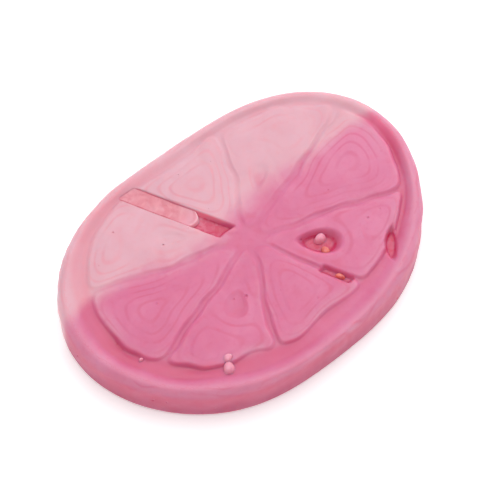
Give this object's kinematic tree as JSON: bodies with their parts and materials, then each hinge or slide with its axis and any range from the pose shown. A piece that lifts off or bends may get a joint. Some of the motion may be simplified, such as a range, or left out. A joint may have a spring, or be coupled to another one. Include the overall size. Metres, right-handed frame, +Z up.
{
  "type": "fruit gummy",
  "caption": "Flat oval fruit gummy, deep pink and pale pink, with a fruit slice moulded into its face inside a rounded rim, and a plain flat back.",
  "frame": {"origin": "middle of the flat back, which the gummy rests on", "axes": "+X along the long way of the oval, +Y across it towards the pale side, +Z up out of the moulded face"},
  "size_m": [0.0452, 0.0308, 0.005],
  "materials": {
    "pink_candy": "soft opaque candy with a dull shine, deep pink on one side and pale pink on the other"
  },
  "bodies": {
    "root": {"gummy": "pink_candy"}
  },
  "joints": []
}
